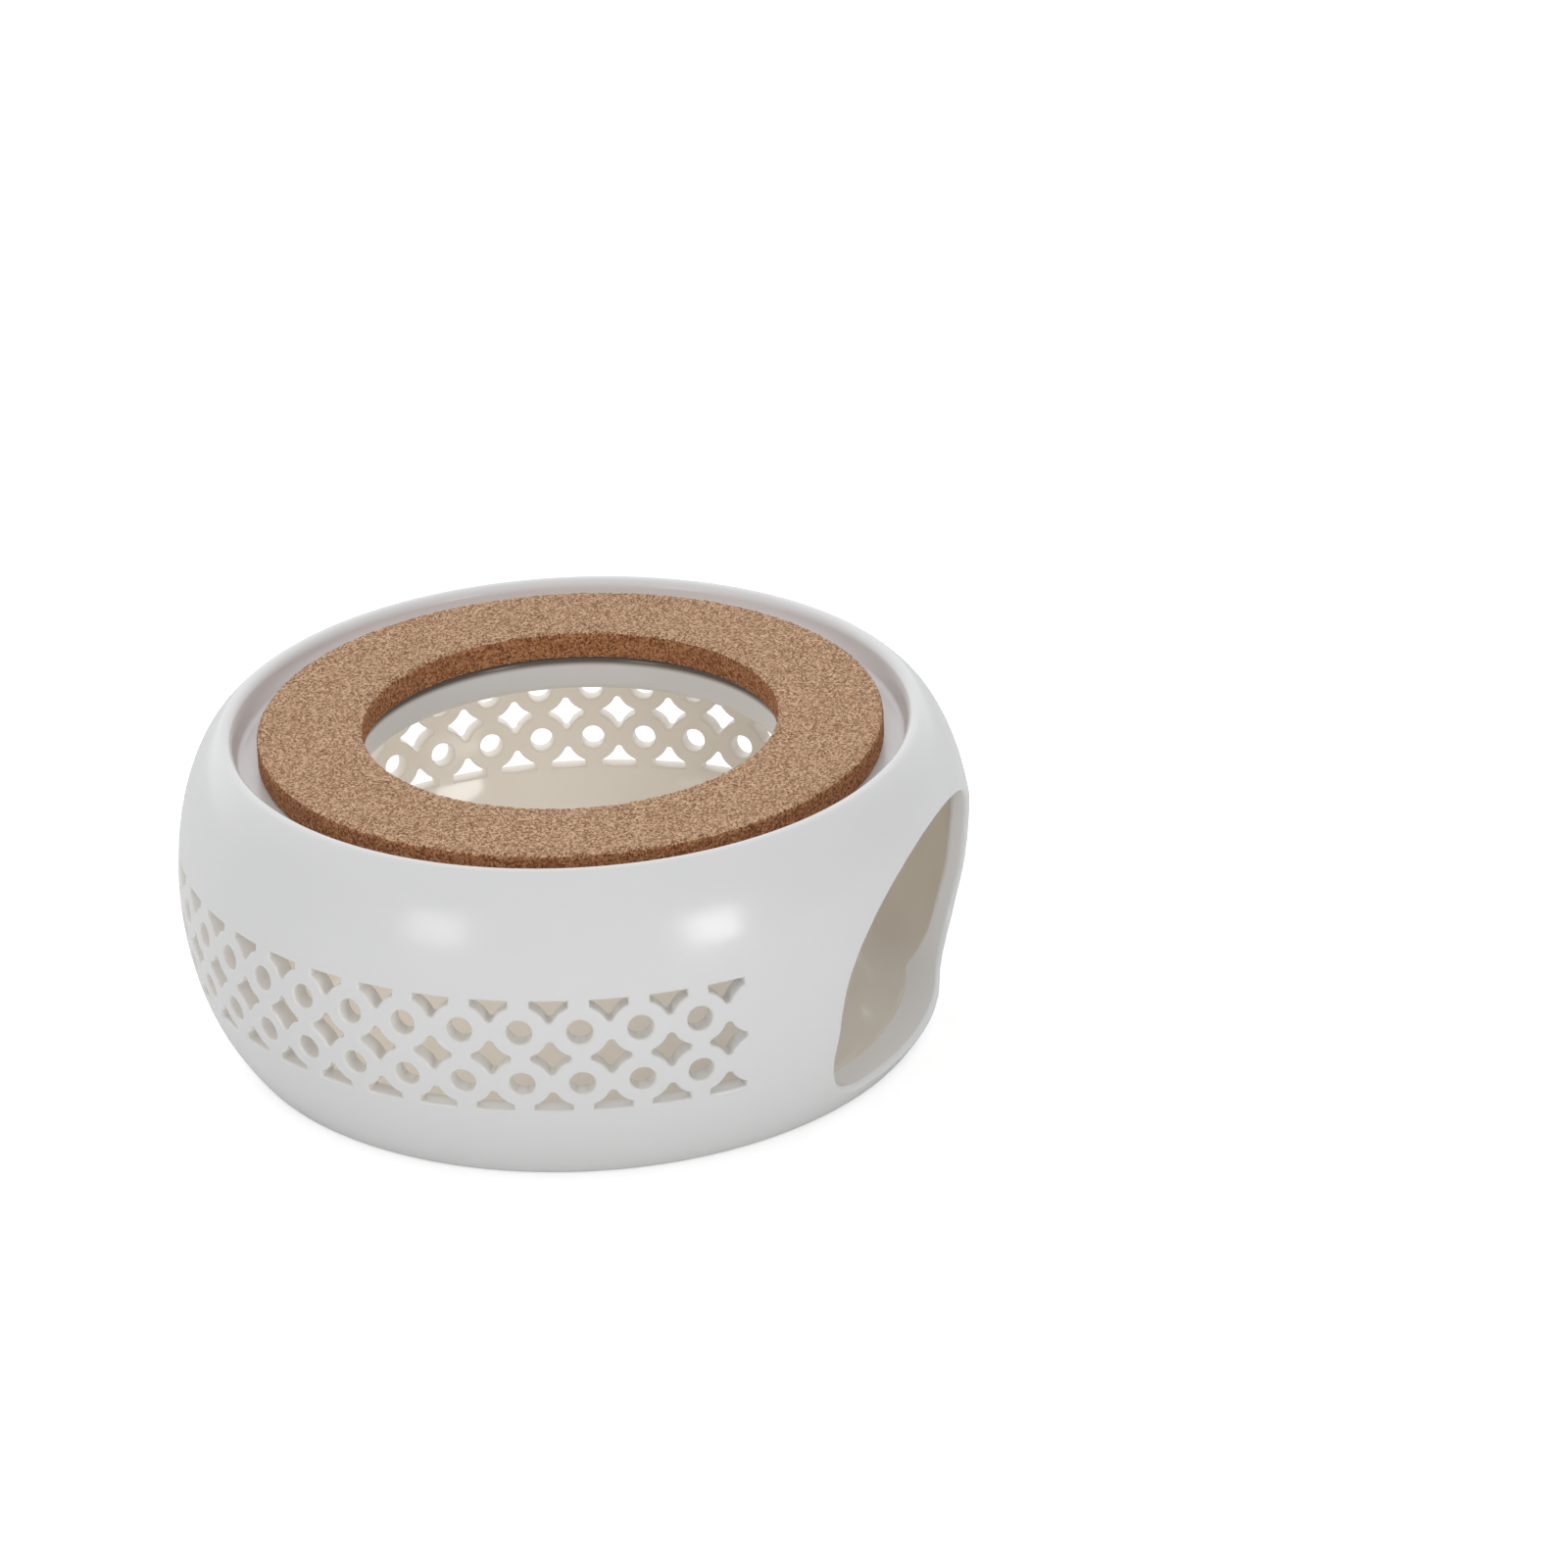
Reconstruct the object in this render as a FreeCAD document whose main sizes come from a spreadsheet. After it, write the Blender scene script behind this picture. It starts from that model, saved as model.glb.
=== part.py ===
import FreeCAD, Part
import math
import os

import Sketcher

# A porcelain warmer that holds a teapot over a tealight, and the loose cork ring in its top.
# +Z is up, the side opening faces -Y, and the origin is the centre of the foot's underside.

# Driving sizes, in millimetres and degrees. Heights are above the foot's underside.
SIZES = {
    # cork ring
    "ring_outer": 105.0,
    "ring_inner": 69.4,
    "ring_thickness": 5.0,
    "ring_edge": 0.4,
    # body, outside, from the rim down
    "body_height": 54.6,
    "rim_above_ring": 0.3,
    "rim_round": 1.5,
    "belly_bulge": 9.2,
    "belly_drop": 26.4,
    "belly_curve": 57.4,
    "crown_drop": 4.4,
    "shoulder_drop": 12.6,
    "shoulder_curve": 34.8,
    "flank_top": 14.2,
    "flank_curve": 38.5,
    "wall": 3.2,
    # foot and floor
    "foot_width": 6.0,
    "foot_recess": 1.2,
    "foot_round": 1.0,
    "floor_thickness": 3.8,
    "floor_round": 9.0,
    # well for the ring, its shelf and the shelf's turned-down lip
    "ring_clearance": 4.1,
    "well_round": 1.5,
    "shelf_thickness": 3.6,
    "shelf_round": 2.0,
    "lip_setback": 1.3,
    "lip_drop": 6.6,
    "lip_thickness": 3.2,
    "lip_round": 1.4,
    # side opening for the tealight
    "opening_width": 63.0,
    "opening_step": 0.5,
    "opening_corner": 12.0,
    "opening_jamb": 6.3,
    "opening_headroom": 1.3,
    "opening_edge": 0.8,
    # pierced lattice
    "lattice_above_flank": 11.2,
    "lattice_row": 4.7,
    "lattice_pitch": 8.3,
    "lattice_columns": 33,
    "star_width": 6.1,
    "star_height": 5.7,
    "star_tip": 0.9,
    "star_curve": 4.7,
    "border_overlap": 0.6,
    "eyelet_diameter": 4.1,
    # how far cutting tools reach past what they cut
    "overrun": 3.0,
}

# Sizes worked out from the driving ones, kept as formulas in the same sheet.
DERIVED = {
    "well_radius": "ring_outer / 2 + ring_clearance",
    "rim_radius": "well_radius + rim_round",
    "body_radius": "rim_radius + belly_bulge",
    "belly_height": "body_height - belly_drop",
    "shoulder_base": "body_height - shoulder_drop",
    "crown_base": "body_height - crown_drop",
    "shelf_top": "body_height - rim_above_ring - ring_thickness",
    "shelf_bottom": "shelf_top - shelf_thickness",
    "lip_inner": "ring_inner / 2 + lip_setback",
    "lip_outer": "lip_inner + lip_thickness",
    "lip_bottom": "shelf_top - lip_drop",
    "opening_sill": "floor_thickness + opening_step",
    "opening_spring": "opening_sill + opening_corner + opening_jamb",
    "opening_rise": "shelf_bottom - opening_headroom - opening_spring",
    "lattice_middle": "flank_top + lattice_above_flank",
    "lattice_start": "body_radius - wall - 2 * overrun",
}

TOLERANCE = 1e-4


class Sheet:
    """The spreadsheet of sizes, read by name."""

    def __init__(self, doc):
        self.cells = doc.addObject("Spreadsheet::Sheet", "sizes")
        rows = [(name, str(value)) for name, value in SIZES.items()]
        rows += [(name, "=" + formula) for name, formula in DERIVED.items()]
        for row, (name, content) in enumerate(rows, start=1):
            self.cells.set(f"A{row}", name)
            self.cells.setAlias(f"B{row}", name)
            self.cells.set(f"B{row}", content)
        doc.recompute()

    def __getattr__(self, name):
        return float(self.cells.get(name))


def flat(x, y):
    return FreeCAD.Vector(x, y, 0)


def part_of(body, role):
    """One of the body's own origin planes or axes."""
    return next(feature for feature in body.Origin.OriginFeatures if feature.Role == role)


def new_sketch(body, name):
    """A sketch on the body's XZ plane, which it faces from -Y."""
    sketch = body.newObject("Sketcher::SketchObject", name)
    sketch.AttachmentSupport = [(part_of(body, "XZ_Plane"), "")]
    sketch.MapMode = "FlatFace"
    return sketch


def lattice_sketch(body, name, turn):
    """A sketch that stands just inside the wall, turned about Z from the +Y side."""
    sketch = new_sketch(body, name)
    sketch.AttachmentOffset = FreeCAD.Placement(flat(0, 0), FreeCAD.Rotation(flat(0, 1), 1.0))
    sketch.setExpression("AttachmentOffset.Rotation.Angle", turn)
    sketch.setExpression("AttachmentOffset.Base.x", f"-sizes.lattice_start * sin({turn})")
    sketch.setExpression("AttachmentOffset.Base.z", f"-sizes.lattice_start * cos({turn})")
    return sketch


class Outline:
    """A closed outline in a sketch, drawn edge by edge, each from where the last one ended."""

    def __init__(self, sketch, x, y):
        self.sketch = sketch
        self.here = flat(x, y)
        self.edges = []

    def add(self, shape, first, last, tangent):
        index = self.sketch.addGeometry(shape, False)
        if self.edges:
            before, before_end = self.edges[-1][0], self.edges[-1][2]
            kind = "Tangent" if tangent else "Coincident"
            self.sketch.addConstraint(Sketcher.Constraint(kind, before, before_end, index, first))
        self.edges.append((index, first, last))
        return index

    def line(self, x, y, tangent=False):
        """A straight edge, held level or upright where it is drawn so."""
        end = flat(x, y)
        index = self.add(Part.LineSegment(self.here, end), 1, 2, tangent)
        if not tangent and abs(end.x - self.here.x) < TOLERANCE:
            self.sketch.addConstraint(Sketcher.Constraint("Vertical", index))
        elif not tangent and abs(end.y - self.here.y) < TOLERANCE:
            self.sketch.addConstraint(Sketcher.Constraint("Horizontal", index))
        self.here = end
        return index

    def arc(self, centre, x, y, tangent=False):
        """An arc about the centre, the short way round to the point x, y."""
        start, end = self.here - centre, flat(x, y) - centre
        angles = [math.atan2(start.y, start.x), math.atan2(end.y, end.x)]
        circle = Part.Circle(centre, FreeCAD.Vector(0, 0, 1), start.Length)
        if start.x * end.y - start.y * end.x > 0:
            index = self.add(Part.ArcOfCircle(circle, *angles), 1, 2, tangent)
        else:
            index = self.add(Part.ArcOfCircle(circle, *reversed(angles)), 2, 1, tangent)
        self.here = flat(x, y)
        return index

    def close(self, tangent=False):
        first, last = self.edges[0], self.edges[-1]
        kind = "Tangent" if tangent else "Coincident"
        self.sketch.addConstraint(Sketcher.Constraint(kind, last[0], last[2], first[0], first[1]))


def bind(sketch, constraint, formula):
    """Adds a dimension and ties it to the sheet."""
    index = sketch.addConstraint(constraint)
    sketch.setExpression(f"Constraints[{index}]", formula)


def across(sketch, edge, point, value, formula):
    """Distance of an edge's point from the vertical axis, on the side where it is drawn."""
    if value < 0:
        bind(sketch, Sketcher.Constraint("DistanceX", edge, point, -1, 1, -value), formula)
    else:
        bind(sketch, Sketcher.Constraint("DistanceX", -1, 1, edge, point, value), formula)


def above(sketch, edge, point, value, formula):
    """Height of an edge's point."""
    bind(sketch, Sketcher.Constraint("DistanceY", -1, 1, edge, point, value), formula)


def rounded(sketch, edge, value, formula):
    bind(sketch, Sketcher.Constraint("Radius", edge, value), formula)


def on_circle(centre, radius, height, side=1):
    """The point of a circle at a height, right of its centre or left."""
    return centre.x + side * math.sqrt(radius ** 2 - (height - centre.y) ** 2)


def next_centre(centre, radius, point, new_radius):
    """The centre of an arc that goes on from a circle at a point, in line with it."""
    return point + (centre - point) * (new_radius / radius)


def draw_section(sketch, s):
    """Half of the body's section: flank, belly, shoulder, crown and rim outside, one wall inside."""
    # outer arcs, each in line with the one before
    belly = flat(s.body_radius - s.belly_curve, s.belly_height)
    low = flat(on_circle(belly, s.belly_curve, s.flank_top), s.flank_top)
    flank = next_centre(belly, s.belly_curve, low, s.flank_curve)
    high = flat(on_circle(belly, s.belly_curve, s.shoulder_base), s.shoulder_base)
    shoulder = next_centre(belly, s.belly_curve, high, s.shoulder_curve)
    top = flat(on_circle(shoulder, s.shoulder_curve, s.crown_base), s.crown_base)
    rim = flat(s.rim_radius, s.body_height - s.rim_round)
    # the crown arc leaves the shoulder in line with it and runs into the rim's round
    out = (top - shoulder) * (1 / s.shoulder_curve)
    gap = top - rim
    crown_curve = (gap.dot(gap) - s.rim_round ** 2) / (2 * (gap.dot(out) - s.rim_round))
    crown = top - out * crown_curve
    meet = rim + (rim - crown) * (s.rim_round / (rim - crown).Length)
    # inner arcs share the outer arcs' centres
    inner_belly = s.belly_curve - s.wall
    inner_flank = s.flank_curve - s.wall
    inner_shoulder = s.shoulder_curve - s.wall
    inner_high = belly + (high - belly) * (inner_belly / s.belly_curve)
    inner_low = belly + (low - belly) * (inner_belly / s.belly_curve)
    foot = on_circle(flank, s.flank_curve, 0)

    outline = Outline(sketch, 0, s.foot_recess)
    underside = outline.line(foot - s.foot_width, s.foot_recess)
    outline.line(foot - s.foot_width, 0)
    sole = outline.line(foot, 0)
    flank_edge = outline.arc(flank, low.x, low.y)
    belly_edge = outline.arc(belly, high.x, high.y, tangent=True)
    shoulder_edge = outline.arc(shoulder, top.x, top.y, tangent=True)
    outline.arc(crown, meet.x, meet.y, tangent=True)
    rim_edge = outline.arc(rim, s.well_radius, rim.y, tangent=True)
    well = outline.line(s.well_radius, s.shelf_top, tangent=True)
    sketch.addConstraint(Sketcher.Constraint("Vertical", well))
    shelf = outline.line(s.lip_inner, s.shelf_top)
    outline.line(s.lip_inner, s.lip_bottom)
    lip_end = outline.line(s.lip_outer, s.lip_bottom)
    outline.line(s.lip_outer, s.shelf_bottom)
    ceiling = outline.line(on_circle(shoulder, inner_shoulder, s.shelf_bottom), s.shelf_bottom)
    inner_shoulder_edge = outline.arc(shoulder, inner_high.x, inner_high.y)
    inner_belly_edge = outline.arc(belly, inner_low.x, inner_low.y, tangent=True)
    floor_corner = on_circle(flank, inner_flank, s.floor_thickness)
    inner_flank_edge = outline.arc(flank, floor_corner, s.floor_thickness, tangent=True)
    floor = outline.line(0, s.floor_thickness)
    axis = outline.line(0, s.foot_recess)
    outline.close()

    # edge points: 1 start, 2 end, 3 centre
    sketch.addConstraint(Sketcher.Constraint("PointOnObject", axis, 1, -2))
    sketch.addConstraint(Sketcher.Constraint("PointOnObject", sole, 1, -1))
    above(sketch, underside, 1, s.foot_recess, "sizes.foot_recess")
    bind(sketch, Sketcher.Constraint("DistanceX", sole, 1, sole, 2, s.foot_width), "sizes.foot_width")
    rounded(sketch, flank_edge, s.flank_curve, "sizes.flank_curve")
    rounded(sketch, belly_edge, s.belly_curve, "sizes.belly_curve")
    rounded(sketch, shoulder_edge, s.shoulder_curve, "sizes.shoulder_curve")
    rounded(sketch, rim_edge, s.rim_round, "sizes.rim_round")
    across(sketch, belly_edge, 3, belly.x, "sizes.body_radius - sizes.belly_curve")
    above(sketch, belly_edge, 3, belly.y, "sizes.belly_height")
    above(sketch, flank_edge, 2, low.y, "sizes.flank_top")
    above(sketch, belly_edge, 2, high.y, "sizes.shoulder_base")
    above(sketch, shoulder_edge, 2, top.y, "sizes.crown_base")
    across(sketch, rim_edge, 3, rim.x, "sizes.rim_radius")
    above(sketch, rim_edge, 3, rim.y, "sizes.body_height - sizes.rim_round")
    above(sketch, shelf, 1, s.shelf_top, "sizes.shelf_top")
    across(sketch, lip_end, 1, s.lip_inner, "sizes.lip_inner")
    across(sketch, lip_end, 2, s.lip_outer, "sizes.lip_outer")
    above(sketch, lip_end, 1, s.lip_bottom, "sizes.lip_bottom")
    above(sketch, ceiling, 1, s.shelf_bottom, "sizes.shelf_bottom")
    above(sketch, floor, 2, s.floor_thickness, "sizes.floor_thickness")
    sketch.addConstraint(Sketcher.Constraint("Coincident", inner_shoulder_edge, 3, shoulder_edge, 3))
    sketch.addConstraint(Sketcher.Constraint("Horizontal", inner_belly_edge, 3, belly_edge, 3))
    sketch.addConstraint(Sketcher.Constraint("Horizontal", inner_flank_edge, 3, flank_edge, 3))
    rounded(sketch, inner_shoulder_edge, inner_shoulder, "sizes.shoulder_curve - sizes.wall")
    rounded(sketch, inner_belly_edge, inner_belly, "sizes.belly_curve - sizes.wall")
    rounded(sketch, inner_flank_edge, inner_flank, "sizes.flank_curve - sizes.wall")


def draw_opening(sketch, s):
    """The side opening: a level sill, round lower corners, short jambs and an elliptical arch."""
    half = s.opening_width / 2
    corner_top = s.opening_sill + s.opening_corner
    sill_end = half - s.opening_corner
    spring = s.opening_spring
    outline = Outline(sketch, -sill_end, s.opening_sill)
    sill = outline.line(sill_end, s.opening_sill)
    right = outline.arc(flat(sill_end, corner_top), half, corner_top, tangent=True)
    jamb = outline.line(half, spring, tangent=True)
    side, crown, centre = flat(half, spring), flat(0, spring + s.opening_rise), flat(0, spring)
    wide = s.opening_rise < half
    if wide:
        ellipse = Part.ArcOfEllipse(Part.Ellipse(side, crown, centre), 0, math.pi)
    else:
        ellipse = Part.ArcOfEllipse(Part.Ellipse(crown, flat(-half, spring), centre), -math.pi / 2, math.pi / 2)
    arch = outline.add(ellipse, 1, 2, False)
    outline.here = flat(-half, spring)
    other_jamb = outline.line(-half, corner_top)
    left = outline.arc(flat(-sill_end, corner_top), -sill_end, s.opening_sill, tangent=True)
    outline.close(tangent=True)
    inner = sketch.GeometryCount
    sketch.exposeInternalGeometry(arch)
    level_axis, upright_axis = (inner, inner + 1) if wide else (inner + 1, inner)
    sketch.addConstraint(Sketcher.Constraint("Vertical", jamb))
    sketch.addConstraint(Sketcher.Constraint("Horizontal", level_axis))
    sketch.addConstraint(Sketcher.Constraint("PointOnObject", arch, 3, -2))
    above(sketch, sill, 1, s.opening_sill, "sizes.opening_sill")
    above(sketch, arch, 3, spring, "sizes.opening_spring")
    above(sketch, jamb, 2, spring, "sizes.opening_spring")
    across(sketch, jamb, 2, half, "sizes.opening_width / 2")
    above(sketch, other_jamb, 1, spring, "sizes.opening_spring")
    rounded(sketch, right, s.opening_corner, "sizes.opening_corner")
    rounded(sketch, left, s.opening_corner, "sizes.opening_corner")
    rise = Sketcher.Constraint("Distance", upright_axis, 2 * s.opening_rise)
    bind(sketch, rise, "2 * sizes.opening_rise")


def draw_star(sketch, s, height, height_formula, up=True, down=True):
    """A four-pointed star with hollow sides, or its lower or upper half with a level edge."""
    half_width, half_height, tip = s.star_width / 2, s.star_height / 2, s.star_tip / 2
    chord = flat(half_width - tip, tip - half_height)
    reach = math.sqrt(s.star_curve ** 2 - (chord.Length / 2) ** 2)
    away = flat(-chord.y, chord.x) * (reach / chord.Length)
    middle = flat((half_width + tip) / 2, (half_height + tip) / 2)
    centre = middle + away
    top = half_height if up else s.border_overlap
    bottom = -half_height if down else -s.border_overlap
    wide = "sizes.star_width / 2"
    narrow = "sizes.star_tip / 2"

    def hollow(outline, x_side, y_side, x, y):
        corner = flat(x_side * centre.x, height + y_side * centre.y)
        edge = outline.arc(corner, x, height + y)
        rounded(sketch, edge, s.star_curve, "sizes.star_curve")

    outline = Outline(sketch, half_width, height + (-tip if down else bottom))
    side = outline.line(half_width, height + (tip if up else top))
    across(sketch, side, 1, half_width, wide)
    above(sketch, side, 1, height + (-tip if down else bottom),
          height_formula + (" - " + narrow if down else " - sizes.border_overlap"))
    above(sketch, side, 2, height + (tip if up else top),
          height_formula + (" + " + narrow if up else " + sizes.border_overlap"))
    if up:
        hollow(outline, 1, 1, tip, half_height)
        point = outline.line(-tip, height + half_height)
        across(sketch, point, 1, tip, narrow)
        across(sketch, point, 2, -tip, narrow)
        above(sketch, point, 1, height + half_height, height_formula + " + sizes.star_height / 2")
        hollow(outline, -1, 1, -half_width, tip)
    else:
        outline.line(-half_width, height + top)
    other = outline.line(-half_width, height + (-tip if down else bottom))
    across(sketch, other, 1, -half_width, wide)
    if down:
        above(sketch, other, 2, height - tip, height_formula + " - " + narrow)
    if up:
        above(sketch, other, 1, height + tip, height_formula + " + " + narrow)
    if down:
        hollow(outline, -1, -1, -tip, -half_height)
        point = outline.line(tip, height - half_height)
        across(sketch, point, 1, -tip, narrow)
        across(sketch, point, 2, tip, narrow)
        above(sketch, point, 1, height - half_height, height_formula + " - sizes.star_height / 2")
        hollow(outline, 1, -1, half_width, -tip)
    else:
        outline.line(half_width, height + bottom)
    outline.close()


def draw_star_column(sketch, s):
    """One column of the lattice: a whole star between two halves that end level."""
    middle = "sizes.lattice_middle"
    span = 2 * s.lattice_row
    draw_star(sketch, s, s.lattice_middle, middle)
    draw_star(sketch, s, s.lattice_middle + span, middle + " + 2 * sizes.lattice_row", up=False)
    draw_star(sketch, s, s.lattice_middle - span, middle + " - 2 * sizes.lattice_row", down=False)


def draw_eyelet_column(sketch, s):
    """The two round holes that stand between two columns of stars."""
    for side, sign in ((1, "+"), (-1, "-")):
        centre = flat(0, s.lattice_middle + side * s.lattice_row)
        circle = Part.Circle(centre, FreeCAD.Vector(0, 0, 1), s.eyelet_diameter / 2)
        hole = sketch.addGeometry(circle, False)
        rounded(sketch, hole, s.eyelet_diameter / 2, "sizes.eyelet_diameter / 2")
        sketch.addConstraint(Sketcher.Constraint("PointOnObject", hole, 3, -2))
        above(sketch, hole, 3, centre.y, f"sizes.lattice_middle {sign} sizes.lattice_row")


def ring_edges(shape, radius, height):
    """The names of the whole circular edges of a radius at a height."""
    names = []
    for number, edge in enumerate(shape.Edges, start=1):
        if isinstance(edge.Curve, Part.Circle) and edge.isClosed():
            same_radius = abs(edge.Curve.Radius - radius) < TOLERANCE
            if same_radius and abs(edge.Curve.Center.z - height) < TOLERANCE:
                names.append(f"Edge{number}")
    return names


def round_over(body, base, name, places, formula):
    """Rounds circular edges, each given by its radius and height."""
    names = [edge for radius, height in places for edge in ring_edges(base.Shape, radius, height)]
    fillet = body.newObject("PartDesign::Fillet", name)
    fillet.Base = (base, names)
    fillet.setExpression("Radius", formula)
    body.Document.recompute()
    return fillet


def doorway_edges(shape, sketch):
    """The names of the edges where a sketch's cut leaves the wall, inside and outside."""
    outline = sketch.Shape
    names = []
    for number, edge in enumerate(shape.Edges, start=1):
        middle = edge.valueAt((edge.FirstParameter + edge.LastParameter) / 2)
        on_sketch = Part.Vertex(middle.x, outline.BoundBox.YMin, middle.z)
        level_with_cut = middle.y < outline.BoundBox.YMin
        if level_with_cut and not isinstance(edge.Curve, Part.Line):
            if outline.distToShape(on_sketch)[0] < TOLERANCE:
                names.append(f"Edge{number}")
    return names


def cut(body, sketch, name, length_formula, away_from_plane):
    """Cuts a sketch through the wall, and checks that it took something off."""
    before = body.Shape.Volume
    pocket = body.newObject("PartDesign::Pocket", name)
    pocket.Profile = sketch
    pocket.Type = "Length"
    pocket.Reversed = away_from_plane
    pocket.setExpression("Length", length_formula)
    body.Document.recompute()
    if body.Shape.Volume > before - 1:
        raise ValueError(name + " cut nothing")
    return pocket


def repeat_round(body, pocket, name, count_formula):
    """Repeats a cut round the Z axis at the lattice's pitch."""
    pattern = body.newObject("PartDesign::PolarPattern", name)
    pattern.Originals = [pocket]
    pattern.Axis = (part_of(body, "Z_Axis"), [""])
    pattern.Mode = "Spacing"
    pattern.setExpression("Offset", "sizes.lattice_pitch")
    pattern.setExpression("Occurrences", count_formula)
    body.Tip = pattern
    body.Document.recompute()
    return pattern


def make_body(doc, s):
    """The porcelain body, cast in one piece."""
    body = doc.addObject("PartDesign::Body", "PorcelainBody")
    body.Label = "porcelain_body"
    section = new_sketch(body, "Section")
    draw_section(section, s)
    turned = body.newObject("PartDesign::Revolution", "Turned")
    turned.Profile = section
    turned.ReferenceAxis = (section, ["V_Axis"])
    turned.Angle = 360
    doc.recompute()

    flank_edge = max(edge.Curve.Radius for edge in turned.Shape.Edges
                     if isinstance(edge.Curve, Part.Circle) and abs(edge.Curve.Center.z) < TOLERANCE)
    corner = floor_corner_radius(turned.Shape, s)
    ceiling = wall_radius(turned.Shape, s)
    step = round_over(body, turned, "FootRound", [(flank_edge, 0)], "sizes.foot_round")
    step = round_over(body, step, "FloorRound", [(corner, s.floor_thickness)], "sizes.floor_round")
    step = round_over(body, step, "WellRound", [(s.well_radius, s.shelf_top)], "sizes.well_round")
    step = round_over(body, step, "ShelfRound", [(s.lip_outer, s.shelf_bottom), (ceiling, s.shelf_bottom)],
                      "sizes.shelf_round")
    lip = [(s.lip_inner, s.shelf_top), (s.lip_inner, s.lip_bottom), (s.lip_outer, s.lip_bottom)]
    round_over(body, step, "LipRound", lip, "sizes.lip_round")

    doorway = new_sketch(body, "Doorway")
    doorway.setExpression("AttachmentOffset.Base.z", "sizes.lip_outer + sizes.overrun")
    draw_opening(doorway, s)
    doc.recompute()
    doorway_cut = cut(body, doorway, "Opening", "sizes.body_radius - sizes.lip_outer", True)
    edge_round = body.newObject("PartDesign::Fillet", "OpeningRound")
    edge_round.Base = (doorway_cut, doorway_edges(doorway_cut.Shape, doorway))
    edge_round.setExpression("Radius", "sizes.opening_edge")
    doc.recompute()

    reach = "sizes.body_radius + sizes.overrun - sizes.lattice_start"
    half_turn = "-(sizes.lattice_columns - {}) / 2 * sizes.lattice_pitch"
    stars = lattice_sketch(body, "StarColumn", half_turn.format(1))
    draw_star_column(stars, s)
    doc.recompute()
    star_cut = cut(body, stars, "StarCut", reach, False)
    repeat_round(body, star_cut, "StarColumns", "sizes.lattice_columns")

    eyelets = lattice_sketch(body, "EyeletColumn", half_turn.format(2))
    draw_eyelet_column(eyelets, s)
    doc.recompute()
    eyelet_cut = cut(body, eyelets, "EyeletCut", reach, False)
    repeat_round(body, eyelet_cut, "EyeletColumns", "sizes.lattice_columns - 1")
    return body


def circles_at(shape, height):
    """Radii of the circular edges that lie at a height."""
    return sorted(edge.Curve.Radius for edge in shape.Edges
                  if isinstance(edge.Curve, Part.Circle) and abs(edge.Curve.Center.z - height) < TOLERANCE)


def floor_corner_radius(shape, s):
    return circles_at(shape, s.floor_thickness)[-1]


def wall_radius(shape, s):
    return circles_at(shape, s.shelf_bottom)[-1]


def make_ring(doc, s):
    """The cork ring: a flat washer with its arrises just broken, lying on the shelf."""
    body = doc.addObject("PartDesign::Body", "CorkRing")
    body.Label = "cork_ring"
    sketch = body.newObject("Sketcher::SketchObject", "RingPlan")
    sketch.AttachmentSupport = [(part_of(body, "XY_Plane"), "")]
    sketch.MapMode = "FlatFace"
    sketch.setExpression("AttachmentOffset.Base.z", "sizes.shelf_top")
    for name, diameter in (("ring_outer", s.ring_outer), ("ring_inner", s.ring_inner)):
        circle = sketch.addGeometry(Part.Circle(flat(0, 0), FreeCAD.Vector(0, 0, 1), diameter / 2), False)
        sketch.addConstraint(Sketcher.Constraint("Coincident", circle, 3, -1, 1))
        rounded(sketch, circle, diameter / 2, f"sizes.{name} / 2")
    pad = body.newObject("PartDesign::Pad", "Cork")
    pad.Profile = sketch
    pad.setExpression("Length", "sizes.ring_thickness")
    doc.recompute()
    edges = [f"Edge{number}" for number, edge in enumerate(pad.Shape.Edges, start=1)
             if isinstance(edge.Curve, Part.Circle)]
    chamfer = body.newObject("PartDesign::Chamfer", "BrokenEdges")
    chamfer.Base = (pad, edges)
    chamfer.setExpression("Size", "sizes.ring_edge")
    doc.recompute()
    return body


def check(doc, bodies):
    """Stops before anything is written if a feature failed or a shape is not sound."""
    for thing in doc.Objects:
        if "Invalid" in thing.State or "Error" in thing.State:
            raise ValueError(thing.Name + " failed")
    for body in bodies:
        if body.Shape.isNull() or not body.Shape.isValid() or len(body.Shape.Solids) != 1:
            raise ValueError(body.Label + " is not one sound solid")


def main():
    doc = FreeCAD.newDocument("TeapotWarmer")
    sheet = Sheet(doc)
    bodies = [make_body(doc, sheet), make_ring(doc, sheet)]
    check(doc, bodies)
    os.makedirs("parts", exist_ok=True)
    for body in bodies:
        box = body.Shape.BoundBox
        print(body.Label, "volume", round(body.Shape.Volume), "mm3, box",
              [round(value, 2) for value in (box.XLength, box.YLength, box.ZMin, box.ZMax)])
        body.Shape.exportStep(f"parts/{body.Label}.step")


main()
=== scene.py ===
"""Looks of the porcelain teapot warmer: the glazed body and the loose cork ring in its top."""

import logging
import math
from dataclasses import dataclass, field
from enum import Enum

import bpy
from mathutils import Matrix, Vector
from mathutils.bvhtree import BVHTree

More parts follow.
